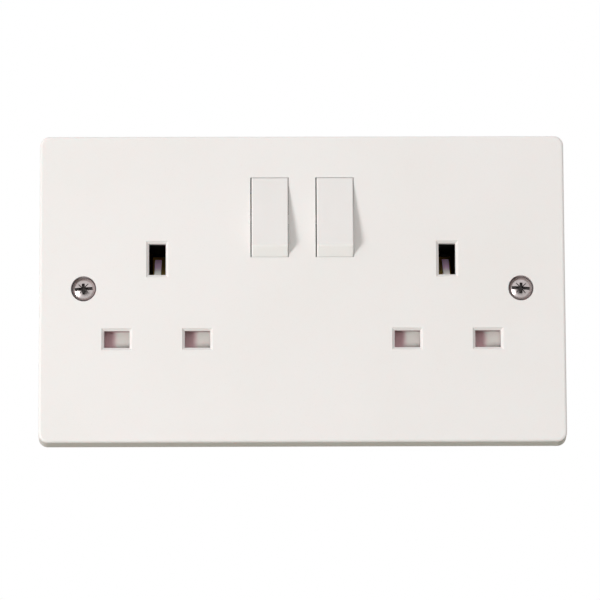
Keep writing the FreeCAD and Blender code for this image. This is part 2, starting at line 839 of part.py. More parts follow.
def slotted_screw(x, z, sizes, seat_y, tip_y):
    """Cheese-head screw, driven from behind, with its head seated at seat_y."""
    head_r, head_height, shank_r, slot = sizes
    head = faceted(x, z, head_r, seat_y, seat_y + head_height)
    shank = faceted(x, z, shank_r, tip_y, seat_y)
    top = seat_y + head_height
    groove = column(x, z, 2 * (head_r + over), slot, top - slot, top + over)
    return head.fuse(shank).removeSplitter().cut(groove)


def terminal_screws():
    sizes = terminal_head_r, terminal_head_height, terminal_screw_r, terminal_slot
    tip_y = terminal_bore_y + terminal_bore_r
    places = terminal_x.values()
    return Part.makeCompound([slotted_screw(x, terminal_z, sizes, line_back_y, tip_y) for x in places])


# Rear housing

def wire_way(x):
    """Room for a terminal's wires through the housing's lower wall."""
    way = faceted(x, 0, terminal_bore_r + wire_gap, 0, house_wall + 2 * over, well_sides)
    way.rotate(Vector(x, 0, 0), Vector(1, 0, 0), 90)
    way.translate(Vector(0, terminal_bore_y, house_bottom_z - over))
    return way


def strip_ways():
    """Room for the flat strips, from the front to their rear faces."""
    ways = []
    for rects in (line_strip_rects("left"), line_strip_rects("right"), neutral_rects(), line_bar_rects()):
        ways.append(strip_plan(rects, house_front_y - over, line_back_y, strip_clear))
    return ways


def earth_way():
    """Room for the earth strip along the floor."""
    across = house_upper_half + over
    half = earth_strip_width / 2 + strip_clear
    return block(-across, across, earth_y - strip_clear, floor_y + over, earth_z - half, earth_z + half)


def shroud(x, z, room_x, room_z):
    """Insulating tube round a clip, standing on the housing's floor."""
    outer = column(x, z, 2 * (room_x + pocket_wall), 2 * (room_z + pocket_wall), house_front_y, floor_y)
    return outer.cut([column(x, z, 2 * room_x, 2 * room_z, house_front_y, floor_y)] + strip_ways())


def flat_shroud(x):
    return shroud(x, pin_row_z, flat_room_x, flat_room_z)


def earth_shroud(side):
    x = sides[side] * outlet_x
    path = ramp_width / 2 + strip_clear
    ramp_back = shutter_stem_y + ramp_depth + ramp_thickness + strip_clear
    ramp_way = block(x - path, x + path, house_front_y - over, ramp_back, shutter_foot_z, earth_z)
    return shroud(x, earth_z, earth_room_x, earth_room_z).cut([ramp_way, earth_way()])


def switch_frame():
    """Walls round the two switch mechanisms, with keepers that close the trunnion bearings."""
    low = rocker_z - rocker_end_r - rocker_swing_gap
    high = house_top_z - house_wall - strip_clear
    far = rocker_x + bearing_far
    front = bearing_end_y + keeper_gap
    keeper = notch_r - keeper_gap
    keeper_y = rocker_y + trunnion_r + keeper_gap
    walls = [block(-far, far, front, floor_y, low - pocket_wall, low)]
    for s in sides.values():
        for e in (-1, 1):
            x0, x1 = sorted((s * rocker_x + e * bearing_near, s * rocker_x + e * bearing_far))
            walls.append(block(x0, x1, front, floor_y, low, high))
            walls.append(block(x0, x1, keeper_y, front, rocker_z - keeper, rocker_z + keeper))
    return join(walls).cut(strip_ways() + [earth_way()])


def terminal_walls():
    top = terminal_z + terminal_height / 2 + strip_clear
    height = top - house_bottom_z
    middle = house_bottom_z + height / 2
    places = [k * terminal_pitch for k in (-1.5, -0.5, 0.5, 1.5)]
    return [column(x, middle, pocket_wall, height, terminal_y, floor_y) for x in places]


def support_pads():
    """Pads on the floor that carry the strips."""
    pads = []
    for x in list(line_pin_x.values()) + list(neutral_pin_x.values()):
        pads.append(column(x, pin_row_z, pad_width, strip_width, line_back_y, floor_y))
    for s in sides.values():
        pads.append(column(s * rocker_x, rocker_z, strip_width, strip_width, line_back_y, floor_y))
        pads.append(column(s * rocker_x, fixed_tip_z, strip_width, strip_width, line_back_y, floor_y))
    return pads


def convex_corners(outer):
    """The housing's edges along Y, other than the two inner corners of its step."""
    corners = []
    for edge in outer.Edges:
        at = edge.Vertexes[0].Point
        box = edge.BoundBox
        along_y = box.XLength < near_enough and box.ZLength < near_enough
        inner = abs(abs(at.x) - house_upper_half) < near_enough and abs(at.z - house_step_z) < near_enough
        if along_y and not inner:
            corners.append(edge)
    return corners


def rear_housing():
    outer = house_prism(0, house_front_y, house_back_y)
    outer = outer.makeChamfer(house_corner, convex_corners(outer))
    rear_edges = [e for e in outer.Edges if e.BoundBox.YMin > house_back_y - near_enough]
    outer = outer.makeChamfer(house_edge, rear_edges)
    tray = outer.cut(house_prism(-house_wall, house_front_y, floor_y))
    inside = house_prism(-house_wall / 2, house_front_y, floor_y + house_floor / 2)

    walls = terminal_walls() + support_pads()
    seat_y = inner_y + house_boss_length
    for x, z in house_screw_places:
        walls.append(column(x, z, house_sleeve, house_sleeve, seat_y, floor_y))
    housing = tray.fuse([wall.common(inside) for wall in walls])

    cuts = strip_ways()
    tab = terminal_tab_width / 2 + strip_clear
    x = terminal_x["earth"]
    half = earth_strip_width / 2 + strip_clear
    cuts.append(block(x - tab, x + tab, line_y - strip_clear, floor_y, terminal_z, earth_z + half))
    for s in sides.values():
        near, far = sorted((s * (house_upper_half - 2 * house_wall), s * (house_upper_half + over)))
        cuts.append(block(near, far, house_front_y - over, floor_y, earth_z - half, earth_z + half))
    for tx in terminal_x.values():
        head_way = terminal_head_r + strip_clear
        cuts.append(faceted(tx, terminal_z, head_way, line_back_y, house_back_y + over, well_sides))
        cuts.append(wire_way(tx))
    for sx, sz in house_screw_places:
        cuts.append(faceted(sx, sz, house_well_r, seat_y + house_seat_wall, house_back_y + over, well_sides))
        cuts.append(faceted(sx, sz, house_screw_r + house_screw_gap, seat_y - over, house_back_y))
    return housing.cut(cuts).removeSplitter()


def housing_screws():
    sizes = house_head_r, house_head_height, house_screw_r, house_slot
    boss_y = inner_y + house_boss_length
    seat_y = boss_y + house_seat_wall
    tip_y = boss_y - house_screw_length
    return Part.makeCompound([slotted_screw(x, z, sizes, seat_y, tip_y) for x, z in house_screw_places])


def fixing_screw(x):
    """Raised countersunk screw with a slot and a cross recess, threaded from just behind the plate."""
    edge_y = front_y + fixing_seat_depth + fixing_seat_r - fixing_head_r
    dome_r = (fixing_head_r ** 2 + fixing_head_dome ** 2) / (2 * fixing_head_dome)
    top = edge_y - fixing_head_dome
    ball = Part.makeSphere(dome_r, Vector(x, top + dome_r, 0))
    dome = ball.common(faceted(x, 0, fixing_head_r, top - over, edge_y, seat_sides))
    neck_y = edge_y + fixing_head_r - fixing_neck_r
    solid = [
        dome,
        taper(x, 0, fixing_head_r, fixing_neck_r, edge_y, neck_y, seat_sides),
        faceted(x, 0, fixing_neck_r, neck_y, fixing_thread_y, seat_sides),
        disc(x, 0, fixing_r, fixing_thread_y, edge_y + fixing_length),
    ]
    cross_y = top + fixing_cross_depth
    recess = [
        column(x, 0, 2 * fixing_slot_half, fixing_slot, top - over, top + fixing_slot_depth),
        column(x, 0, fixing_cross, 2 * fixing_cross_half, top - over, cross_y),
        column(x, 0, 2 * fixing_cross_half, fixing_cross, top - over, cross_y),
    ]
    return join(solid).cut(recess)


def fixing_screws():
    return Part.makeCompound([fixing_screw(s * fixing_x) for s in (-1, 1)])


# Every piece, under its node's name

pieces = {
    "front_plate": front_plate(),
    "rear_housing": rear_housing(),
    "switch_frame": switch_frame(),
    "earth_bar": earth_bar(),
    "neutral_bar": neutral_bar(),
    "line_bar": line_bar(),
    "fixed_contact_tips": fixed_contact_tips(),
    "terminal_screws": terminal_screws(),
    "housing_screws": housing_screws(),
    "fixing_screws": fixing_screws(),
}
for terminal_name in terminal_x:
    pieces[terminal_name + "_terminal"] = terminal(terminal_name)
for side_name in sides:
    pieces["line_strip_" + side_name] = line_strip(side_name)
    pieces["line_clip_" + side_name] = flat_clip(line_pin_x[side_name])
    pieces["neutral_clip_" + side_name] = flat_clip(neutral_pin_x[side_name])
    pieces["earth_clip_" + side_name] = earth_clip(side_name)
    pieces["line_shroud_" + side_name] = flat_shroud(line_pin_x[side_name])
    pieces["neutral_shroud_" + side_name] = flat_shroud(neutral_pin_x[side_name])
    pieces["earth_shroud_" + side_name] = earth_shroud(side_name)
    pieces["shutter_" + side_name] = shutter(side_name)
    pieces["shutter_spring_" + side_name] = shutter_spring(side_name)
    pieces["rocker_" + side_name] = rocker(side_name)
    pieces["plunger_" + side_name] = plunger(side_name)
    pieces["plunger_spring_" + side_name] = plunger_spring(side_name)
    pieces["switch_arm_" + side_name] = switch_arm(side_name)
    pieces["moving_tip_" + side_name] = moving_tip(side_name)

os.makedirs("parts", exist_ok=True)
for name, piece in pieces.items():
    piece.exportStep("parts/" + name + ".step")
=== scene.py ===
import json
import math

import bmesh
import bpy
from mathutils import Matrix, Vector


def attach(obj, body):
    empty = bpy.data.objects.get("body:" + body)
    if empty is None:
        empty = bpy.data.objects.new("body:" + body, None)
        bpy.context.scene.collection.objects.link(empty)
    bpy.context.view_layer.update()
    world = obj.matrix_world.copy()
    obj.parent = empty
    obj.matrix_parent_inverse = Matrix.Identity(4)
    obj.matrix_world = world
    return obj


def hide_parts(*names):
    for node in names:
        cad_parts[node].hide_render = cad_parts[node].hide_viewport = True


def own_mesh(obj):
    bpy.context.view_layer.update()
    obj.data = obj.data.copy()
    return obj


# A white twin switched socket outlet: finishes for its solids, finer screws and springs, and a studio.
# Metres, in the frame of the solids: X to the right along the plate, Y into the wall, Z up.

MM = 0.001

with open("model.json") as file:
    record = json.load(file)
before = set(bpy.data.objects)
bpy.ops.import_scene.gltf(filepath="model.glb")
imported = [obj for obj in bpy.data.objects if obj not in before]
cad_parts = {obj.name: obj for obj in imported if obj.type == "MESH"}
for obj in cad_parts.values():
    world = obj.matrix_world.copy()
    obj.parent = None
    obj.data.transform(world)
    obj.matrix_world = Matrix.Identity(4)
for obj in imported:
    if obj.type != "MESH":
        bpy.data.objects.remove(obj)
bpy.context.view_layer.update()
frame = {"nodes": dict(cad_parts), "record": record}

# Places taken from the solids
SIDES = {"left": -1, "right": 1}
OUTLET_X = 40 * MM
PIN_HALF = 11.1 * MM
FLAT_SIZE = (7.0 * MM, 4.65 * MM)
FLAT_Z = -14 * MM
BLADE_Y = -5.1 * MM
ROCKER_X = 9 * MM
ROCKER_SHIFT = 0.11 * MM
ROCKER_Y = -5 * MM
ROCKER_Z = 19.8 * MM
ROCKER_TILT = math.radians(8.5)
FACE_Y = -9 * MM
FIXING_X = 60.3 * MM

# Fixing screws: raised countersunk heads with a slot, a cross and ticks, and a fine thread
FIXING_EDGE_Y = -7.9 * MM
FIXING_TURNS = {"left": 4, "right": -3}
FIXING_HEAD_R = 3.1 * MM
FIXING_DOME = 0.9 * MM
FIXING_BALL = (FIXING_HEAD_R ** 2 + FIXING_DOME ** 2) / (2 * FIXING_DOME)
FIXING_RIM = 0.12 * MM
FIXING_CONE = 1.43 * MM
FIXING_NECK_R = 1.55 * MM
FIXING_R = 1.75 * MM
FIXING_LENGTH = 25 * MM
FIXING_THREAD = 16.6 * MM
FIXING_PITCH = 0.6 * MM
FIXING_POINT = 0.85 * MM
FIXING_NECK = FIXING_LENGTH - FIXING_THREAD - FIXING_CONE - FIXING_RIM
FIXING_RINGS = 14
CUTTER_ABOVE = 0.12 * MM
SLOT_HALF = 0.42 * MM
SLOT_REACH = 2.5 * MM
SLOT_DEPTH = 0.85 * MM
CROSS_TURNS = (0, 90)
CROSS_REACH = 1.6 * MM
CROSS_DEPTH = 0.6 * MM
CROSS_TAPER = 0.72
TICK_TURNS = (45, 135)
TICK_HALF = 0.13 * MM
TICK_REACH = 1.95 * MM
TICK_DEPTH = 0.5 * MM

# Slotted screws behind: sizes, the plane they seat on, and the turn in degrees at each (x, z) in millimetres
TERMINAL_SCREW = {
    "head_r": 2.9 * MM, "head": 2.2 * MM, "slot": 1.0 * MM,
    "shank_r": 1.85 * MM, "length": 3.2 * MM, "pitch": 0.7 * MM,
}
TERMINAL_SEAT_Y = 10.4 * MM
TERMINAL_PLACES = {(-13, -14): 12, (0, -14): -35, (13, -14): 64}
HOUSE_SCREW = {
    "head_r": 2.8 * MM, "head": 2.0 * MM, "slot": 0.9 * MM,
    "shank_r": 1.4 * MM, "length": 7.8 * MM, "pitch": 1.0 * MM,
}
HOUSE_SEAT_Y = 0.0
HOUSE_PLACES = {(-32, 20): 20, (32, 20): 75, (-30, -3): -48, (30, -3): 8}
HEAD_EDGE = 0.25 * MM
EDGE_STEPS = 3

# Threads: depth in pitches, and where the flat crest lies along a pitch
THREAD_DEPTH = 0.6
THREAD_CREST = (0.42, 0.58)
THREAD_STEPS = 24

# Springs: the closed turn at each end rises by this many radii of the wire
SHUTTER_SPRING = {"coil_r": 1.0 * MM, "wire_r": 0.2 * MM, "length": 12.0 * MM, "turns": 6}
SHUTTER_SPRING_FOOT = (-5.2 * MM, -29.38 * MM)
PLUNGER_SPRING = {"coil_r": 1.0 * MM, "wire_r": 0.18 * MM, "length": 4.7 * MM, "turns": 5}
PLUNGER_SPRING_FRONT = 2.5 * MM
CLOSED_RISE = 2.1
WIRE_SIDES = 10
COIL_STEPS = 28

# Where the masks of the finishes begin and end
APERTURE_DEEP_Y = (FACE_Y + 0.7 * MM, FACE_Y + 1.2 * MM)
APERTURE_PAST = (0.05 * MM, 0.2 * MM)
SEAT_SHADE_R = (3.35 * MM, 3.55 * MM)
NOSE_Z = (11.2 * MM, 12.0 * MM)
WINDOW_LEFT = (-1.5 * MM, 0.4 * MM)
WINDOW_PAST = (4 * MM, 6 * MM)
BLADE_FRONT_Y = (BLADE_Y + 0.1 * MM, BLADE_Y + 0.3 * MM)
RAMP_LIGHT_Z = (1.0 * MM, 3.0 * MM)
RAMP_SHADE_Z = (5.0 * MM, 7.0 * MM)
RECESS_DEEP = (0.1 * MM, 0.4 * MM)
RECESS_R = (2.7 * MM, 2.9 * MM)
RECESS_END_Y = (FIXING_EDGE_Y + SLOT_DEPTH, FIXING_EDGE_Y + SLOT_DEPTH + 0.12 * MM)
CLOUD_EDGE = (0.35, 0.75)
FLECK_EDGE = (0.62, 0.8)
SHUTTER_CLOUD_EDGE = (0.3, 0.75)
HOUSING_CLOUD_EDGE = (0.3, 0.8)
SCUFF_EDGE = (0.66, 0.74)
GRAIN_EDGE = (0.35, 0.7)
SPECK_EDGE = (0.64, 0.78)

# How far each mark covers the colour under it
CLOUD_SHARE = 0.6
FLECK_SHARE = 0.25
SEAT_SHADE_SHARE = 0.75
APERTURE_SHADE_SHARE = 0.85
SCUFF_SHARE = 0.3
GRAIN_SHARE = 0.35
SPECK_SHARE = 0.5
RECESS_SHADE_SHARE = 0.9

# Flecks to the metre in the white mouldings, and how light goes into the pale ones
FLECKS = 2600
WHITE_DEPTH = {
    "Subsurface_Weight": 0.12, "Subsurface_Radius": (1.0, 0.42, 0.4), "Subsurface_Scale": 1.2 * MM,
}
SHUTTER_DEPTH = {
    "Subsurface_Weight": 0.2, "Subsurface_Radius": (1.0, 0.3, 0.36), "Subsurface_Scale": 1.2 * MM,
}

# Fineness of the meshes
ROUND = 64
WELD = 1e-7
SMOOTH_ANGLE = math.radians(32)

# Studio: a grey floor that fades to white, sheets that only mirrored rays see, and two lamps
FLOOR_Z = -1.0
FLOOR_HALF = 4.0
FLOOR_FADE = (0.1, 0.4)
FLOOR_COLOUR = (0.24, 0.235, 0.19, 1)
WHITE = (1, 1, 1, 1)
ROOM_LIGHT = 0.76
MIRRORED = {
    "dark_room": {"place": Vector((0, -1.25, -0.16)), "half": 0.4, "colour": (0.02, 0.02, 0.02, 1)},
    "dull_room": {"place": Vector((0, 1.0, -0.4)), "half": 0.9, "colour": (0.43, 0.4, 0.32, 1)},
}
LAMPS = {
    "key": {"place": Vector((-0.97, -1.08, -0.39)), "size": 0.5, "power": 14.0},
    "front": {"place": Vector((0.1, -1.5, 0.1)), "size": 1.0, "power": 0.8},
}

# Camera, fitted to the photograph: a little below the plate and a little to its left
CAMERA_DISTANCE = 0.93
CAMERA_RISE = math.radians(-7.556)
CAMERA_SWING = math.radians(-0.593)
CAMERA_ROLL = math.radians(-0.214)
FOCAL_PIXELS = 3373.8
CENTRE_PIXELS = (302.38, 288.27)
IMAGE_PIXELS = 600
SENSOR_WIDTH = 36.0
CLIP_START = 0.01


# Shader arithmetic

class Value:
    """An output of a shader node. Arithmetic on it adds Math nodes."""

    def __init__(self, finish, socket):
        self.finish = finish
        self.socket = socket

    def math(self, operation, first, second):
        return self.finish.node("Math", {"operation": operation}, {0: first, 1: second})

    def __add__(self, other):
        return self.math("ADD", self, other)

    def __radd__(self, other):
        return self.math("ADD", other, self)

    def __sub__(self, other):
        return self.math("SUBTRACT", self, other)

    def __rsub__(self, other):
        return self.math("SUBTRACT", other, self)

    def __mul__(self, other):
        return self.math("MULTIPLY", self, other)

    def __rmul__(self, other):
        return self.math("MULTIPLY", other, self)

    def __pow__(self, other):
        return self.math("POWER", self, other)

    def most(self, other):
        return self.math("MAXIMUM", self, other)

    def size(self):
        return self.math("ABSOLUTE", self, 0.0)

    def step(self, low, high):
        """0 below low and 1 above high, smooth between them."""
        settings = {"interpolation_type": "SMOOTHSTEP"}
        return self.finish.node("MapRange", settings, {"Value": self, "From Min": low, "From Max": high})


class Finish:
    """A material, or the world, built from nodes."""

    def __init__(self, name, holder=None):
        self.material = holder or bpy.data.materials.new(name)
        self.material.use_nodes = True
        self.tree = self.material.node_tree
        self.tree.nodes.clear()

    def node(self, kind, settings, inputs, output=0):
        """Add a node of this kind and give one of its outputs."""
        made = self.tree.nodes.new("ShaderNode" + kind)
        for name, setting in settings.items():
            setattr(made, name, setting)
        for key, given in inputs.items():
            if isinstance(given, Value):
                self.tree.links.new(given.socket, made.inputs[key])
            else:
                made.inputs[key].default_value = given
        return Value(self, made.outputs[output]) if made.outputs else None

    def place(self):
        return self.node("TexCoord", {}, {}, "Object")

    def axis(self, name):
        return self.node("SeparateXYZ", {}, {"Vector": self.place()}, name)

    def stretched(self, scale):
        return self.node("Mapping", {}, {"Vector": self.place(), "Scale": scale})

    def noise(self, scale, detail=2.0, rough=0.5, stretch=(1, 1, 1)):
        """Noise from 0 to 1, with this many features to the metre. A small stretch draws it out."""
        given = {"Vector": self.stretched(stretch), "Scale": scale, "Detail": detail, "Roughness": rough}
        return self.node("TexNoise", {}, given)

    def cells(self, scale):
        given = {"Vector": self.place(), "Scale": scale}
        return self.node("TexVoronoi", {"feature": "F1"}, given, "Distance")

    def mix(self, share, first, second):
        """Blend two colours."""
        return self.node("Mix", {"data_type": "RGBA"}, {0: share, 6: first, 7: second}, 2)

    def bump(self, height, strength, depth, under=None):
        given = {"Height": height, "Strength": strength, "Distance": depth}
        if under is not None:
            given["Normal"] = under
        return self.node("Bump", {}, given)

    def surface(self, **inputs):
        """The shader itself: sockets by name, with spaces written as underscores."""
        named = {key.replace("_", " "): given for key, given in inputs.items()}
        self.close("OutputMaterial", self.node("BsdfPrincipled", {}, named))
        return self.material

    def close(self, kind, shader):
        self.node(kind, {}, {"Surface": shader})


def shade(colour, factor):
    return tuple(channel * factor for channel in colour[:3]) + (1.0,)


def rgb(red, green, blue):
    """A colour written as it shows on a screen, from 0 to 255."""
    linear = []
    for channel in (red, green, blue):
        c = channel / 255
        linear.append(c / 12.92 if c <= 0.04045 else ((c + 0.055) / 1.055) ** 2.4)
    return tuple(linear) + (1.0,)


# Finishes

def span(across, along):
    """Distance from two legs at right angles."""
    return (across * across + along * along) ** 0.5


def aperture_wall_shade(finish):
    """1 on the walls of the line and neutral apertures, behind their bevels, where shade is painted."""
    across = ((finish.axis("X").size() - OUTLET_X).size() - PIN_HALF).size()
    rise = (finish.axis("Z") - FLAT_Z).size()
    width, height = FLAT_SIZE
    past = (across - width / 2).most(rise - height / 2)
    return finish.axis("Y").step(*APERTURE_DEEP_Y) * (1 - past.step(*APERTURE_PAST))


def mottled(finish, clouds, base, cloudy, flecked):
    """White with faint clouds, this many to the metre, and fine flecks."""
    cloud = finish.noise(clouds, detail=3.0).step(*CLOUD_EDGE)
    colour = finish.mix(cloud * CLOUD_SHARE, base, cloudy)
    fleck = finish.noise(FLECKS, detail=1.0).step(*FLECK_EDGE)
    return finish.mix(fleck * FLECK_SHARE, colour, flecked)


def plate_finish():
    """Polished white thermoset: orange peel, painted shade as dark rings in each screw seat round the head,
    and painted shade in pinkish grey on the walls of the apertures.
    """
    f = Finish("plate_white")
    colour = mottled(f, 28, rgb(236, 232, 230), rgb(233, 229, 226), rgb(224, 220, 216))
    # Painted shade: dark rings in each screw seat, round the heads.
    seat_shade = 0.0
    for s in SIDES.values():
        seat_shade = seat_shade + (1 - span(f.axis("X") - s * FIXING_X, f.axis("Z")).step(*SEAT_SHADE_R))
    colour = f.mix(seat_shade * SEAT_SHADE_SHARE, colour, rgb(126, 88, 98))
    # Painted shade: pinkish grey on the aperture walls, darkening the recess and the light it bounces.
    colour = f.mix(aperture_wall_shade(f) * APERTURE_SHADE_SHARE, colour, rgb(160, 128, 132))
    peel = f.bump(f.noise(420), strength=0.06, depth=0.05 * MM)
    normal = f.bump(f.noise(FLECKS, detail=1.0), strength=0.02, depth=0.02 * MM, under=peel)
    rough = 0.3 + 0.1 * f.noise(160)
    return f.surface(
        Base_Color=colour, Roughness=rough, Normal=normal, Specular_IOR_Level=0.4, **WHITE_DEPTH
    )


def rocker_finish():
    """Polished white, smoother at the lower end that is pressed, where a lighter colour is painted light."""
    f = Finish("rocker_white")
    colour = mottled(f, 70, rgb(230, 226, 224), rgb(227, 223, 220), rgb(220, 216, 210))
    # Painted light: the lower end, which faces down, is painted lighter; it is also smoother where it is
    # pressed.
    nose_light_and_rub = 1 - f.axis("Z").step(*NOSE_Z)
    colour = f.mix(nose_light_and_rub, colour, rgb(250, 247, 245))
    normal = f.bump(f.noise(520), strength=0.05, depth=0.05 * MM)
    rough = 0.34 - 0.06 * nose_light_and_rub + 0.08 * f.noise(300)
    return f.surface(Base_Color=colour, Roughness=rough, Normal=normal, **WHITE_DEPTH)


def shutter_finish():
    """Satin moulding: painted shade in pinkish colour left of each window, painted light that makes the ramps
    paler, and painted shade in lilac on the tops of the ramps.
    """
    f = Finish("shutter_plastic")
    cloud = f.noise(180, detail=3.0).step(*SHUTTER_CLOUD_EDGE)
    colour = f.mix(cloud, rgb(213, 210, 204), rgb(206, 202, 196))
    # Painted shade: pinkish on the blade's front left of each window, where the window's left wall shades it.
    window_shade = 0.0
    for outlet in SIDES.values():
        for pin in SIDES.values():
            across = f.axis("X") - (outlet * OUTLET_X + pin * PIN_HALF)
            near = 1 - across.size().step(*WINDOW_PAST)
            window_shade = window_shade + (1 - across.step(*WINDOW_LEFT)) * near
    front = 1 - f.axis("Y").step(*BLADE_FRONT_Y)
    colour = f.mix(window_shade * front, colour, rgb(208, 172, 176))
    # Painted light: the ramps are painted paler, above the blades.
    colour = f.mix(f.axis("Z").step(*RAMP_LIGHT_Z), colour, rgb(248, 242, 238))
    # Painted shade: lilac on the tops of the ramps.
    colour = f.mix(f.axis("Z").step(*RAMP_SHADE_Z), colour, rgb(246, 206, 240))
    normal = f.bump(f.noise(2400), strength=0.12, depth=0.03 * MM)
    rough = 0.48 + 0.1 * f.noise(700, detail=1.0)
    return f.surface(Base_Color=colour, Roughness=rough, Normal=normal, **SHUTTER_DEPTH)


def housing_finish():
    """Spark-eroded black moulding: pebbled skin with paler scuffs."""
    f = Finish("housing_black")
    cloud = f.noise(60, detail=4.0, rough=0.6).step(*HOUSING_CLOUD_EDGE)
    colour = f.mix(cloud, rgb(46, 48, 46), rgb(58, 59, 57))
    scuff = f.noise(900, detail=5.0, rough=0.7, stretch=(1, 1, 0.12)).step(*SCUFF_EDGE)
    colour = f.mix(scuff * SCUFF_SHARE, colour, rgb(92, 92, 89))
    normal = f.bump(f.cells(3200), strength=0.25, depth=0.04 * MM)
    rough = 0.52 + 0.16 * f.noise(500, detail=3.0)
    return f.surface(Base_Color=colour, Roughness=rough, Normal=normal)


def nylon_finish():
    """Satin nylon in its own colour, faintly clouded."""
    f = Finish("plunger_nylon")
    cloud = f.noise(300, detail=3.0)
    colour = f.mix(cloud, rgb(226, 223, 214), rgb(214, 210, 198))
    normal = f.bump(f.noise(2500), strength=0.08, depth=0.02 * MM)
    return f.surface(Base_Color=colour, Roughness=0.4 + 0.1 * cloud, Normal=normal)


def under_dome(finish):
    """1 in the slot and the cross of a fixing screw, below its dome, where shade is painted."""
    across = finish.axis("X").size() - FIXING_X
    up = finish.axis("Z")
    dome = (FIXING_BALL ** 2 - across * across - up * up) ** 0.5 - FIXING_BALL + FIXING_DOME
    depth = finish.axis("Y") - (FIXING_EDGE_Y - dome)
    inside = 1 - span(across, up).step(*RECESS_R)
    return depth.step(*RECESS_DEEP) * inside * (1 - finish.axis("Y").step(*RECESS_END_Y))


def metal_finish(name, bright, dull, grain, stretch, rough, tarnish, recess=None):
    """Metal with drawn-out grain, dull patches, dark specks and, where it is given, painted shade in a
    recess.
    """
    f = Finish(name)
    lines = f.noise(grain, detail=3.0, rough=0.65, stretch=stretch)
    patch = f.noise(140, detail=4.0, rough=0.6)
    speck = f.noise(1900).step(*SPECK_EDGE)
    colour = f.mix(patch.step(*CLOUD_EDGE) * tarnish, bright, dull)
    colour = f.mix(lines.step(*GRAIN_EDGE) * GRAIN_SHARE, colour, shade(bright, 0.8))
    colour = f.mix(speck * tarnish * SPECK_SHARE, colour, shade(dull, 0.6))
    # Painted shade: a dark recess, such as the slot and cross of a screw head.
    if recess:
        colour = f.mix(recess(f) * RECESS_SHADE_SHARE, colour, shade(dull, 0.25))
    normal = f.bump(lines, strength=0.1, depth=0.02 * MM)
    roughness = rough + 0.14 * patch * tarnish + 0.1 * lines
    return f.surface(Base_Color=colour, Roughness=roughness, Normal=normal, Metallic=1.0)


METALS = {
    "brass_strip": {
        "bright": rgb(214, 178, 102), "dull": rgb(164, 126, 70),
        "grain": 1500, "stretch": (0.06, 1, 1), "rough": 0.24, "tarnish": 0.8,
    },
    "clip_brass": {
        "bright": rgb(220, 186, 112), "dull": rgb(170, 134, 78),
        "grain": 1500, "stretch": (1, 0.06, 1), "rough": 0.22, "tarnish": 0.6,
    },
    "terminal_brass": {
        "bright": rgb(210, 178, 108), "dull": rgb(158, 124, 70),
        "grain": 1800, "stretch": (1, 1, 0.08), "rough": 0.26, "tarnish": 0.7,
    },
    "contact_silver": {
        "bright": rgb(226, 224, 218), "dull": rgb(150, 146, 138),
        "grain": 1600, "stretch": (1, 1, 1), "rough": 0.26, "tarnish": 0.6,
    },
    "spring_steel": {
        "bright": rgb(176, 176, 178), "dull": rgb(116, 114, 112),
        "grain": 2400, "stretch": (1, 1, 1), "rough": 0.24, "tarnish": 0.5,
    },
    "zinc_steel": {
        "bright": rgb(192, 194, 198), "dull": rgb(142, 142, 140),
        "grain": 1800, "stretch": (1, 1, 1), "rough": 0.3, "tarnish": 0.6,
    },
    "nickel_steel": {
        "bright": rgb(206, 197, 196), "dull": rgb(140, 130, 128),
        "grain": 1600, "stretch": (1, 1, 1), "rough": 0.18, "tarnish": 0.4, "recess": under_dome,
    },
}

finishes = {
    "plate_white": plate_finish(),
    "rocker_white": rocker_finish(),
    "shutter_plastic": shutter_finish(),
    "housing_black": housing_finish(),
    "plunger_nylon": nylon_finish(),
}
for name, metal in METALS.items():
    finishes[name] = metal_finish(name, **metal)

for part in frame["record"]["subparts"]:
    solid = frame["nodes"][part["node"]]
    solid.data.materials.clear()
    solid.data.materials.append(finishes[part["material_slot"]])


# Piece helpers

def add_piece(name, bm, body, slot, node):
    """Close off a bmesh as a piece that rides on a body and stands for a CAD node."""
    bmesh.ops.remove_doubles(bm, verts=bm.verts, dist=WELD)
    bmesh.ops.recalc_face_normals(bm, faces=bm.faces)
    mesh = bpy.data.meshes.new(name)
    bm.to_mesh(mesh)
    bm.free()
    mesh.shade_smooth()
    mesh.set_sharp_from_angle(angle=SMOOTH_ANGLE)
    mesh.materials.append(finishes[slot])
    made = bpy.data.objects.new(name, mesh)
    bpy.context.scene.collection.objects.link(made)
    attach(made, body)
    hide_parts(node)
    return made


def join_into(target, source):
    """Add one bmesh to another."""
    mesh = bpy.data.meshes.new("part")
    source.to_mesh(mesh)
    source.free()
    target.from_mesh(mesh)
    bpy.data.meshes.remove(mesh)


def moved(bm, matrix):
    bmesh.ops.transform(bm, matrix=matrix, verts=bm.verts)
    return bm


def about_z(degrees):
    return Matrix.Rotation(math.radians(degrees), 4, "Z")


def chain(bm, points):
    """Corners at (radius, height) points in the plane of X and Z, and the edges that join them."""
    corners = [bm.verts.new((r, 0, z)) for r, z in points]
    edges = [bm.edges.new(pair) for pair in zip(corners, corners[1:])]
    return corners + edges


def cut_open(bm, at, direction):
    """Cut all that lies beyond a plane away, and close the cut."""
    cut = bmesh.ops.bisect_plane(
        bm, geom=bm.verts[:] + bm.edges[:] + bm.faces[:], dist=WELD,
        plane_co=at, plane_no=direction, clear_outer=True,
    )
    edges = [item for item in cut["geom_cut"] if isinstance(item, bmesh.types.BMEdge)]
    bmesh.ops.edgenet_fill(bm, edges=edges)


# Threads and coils

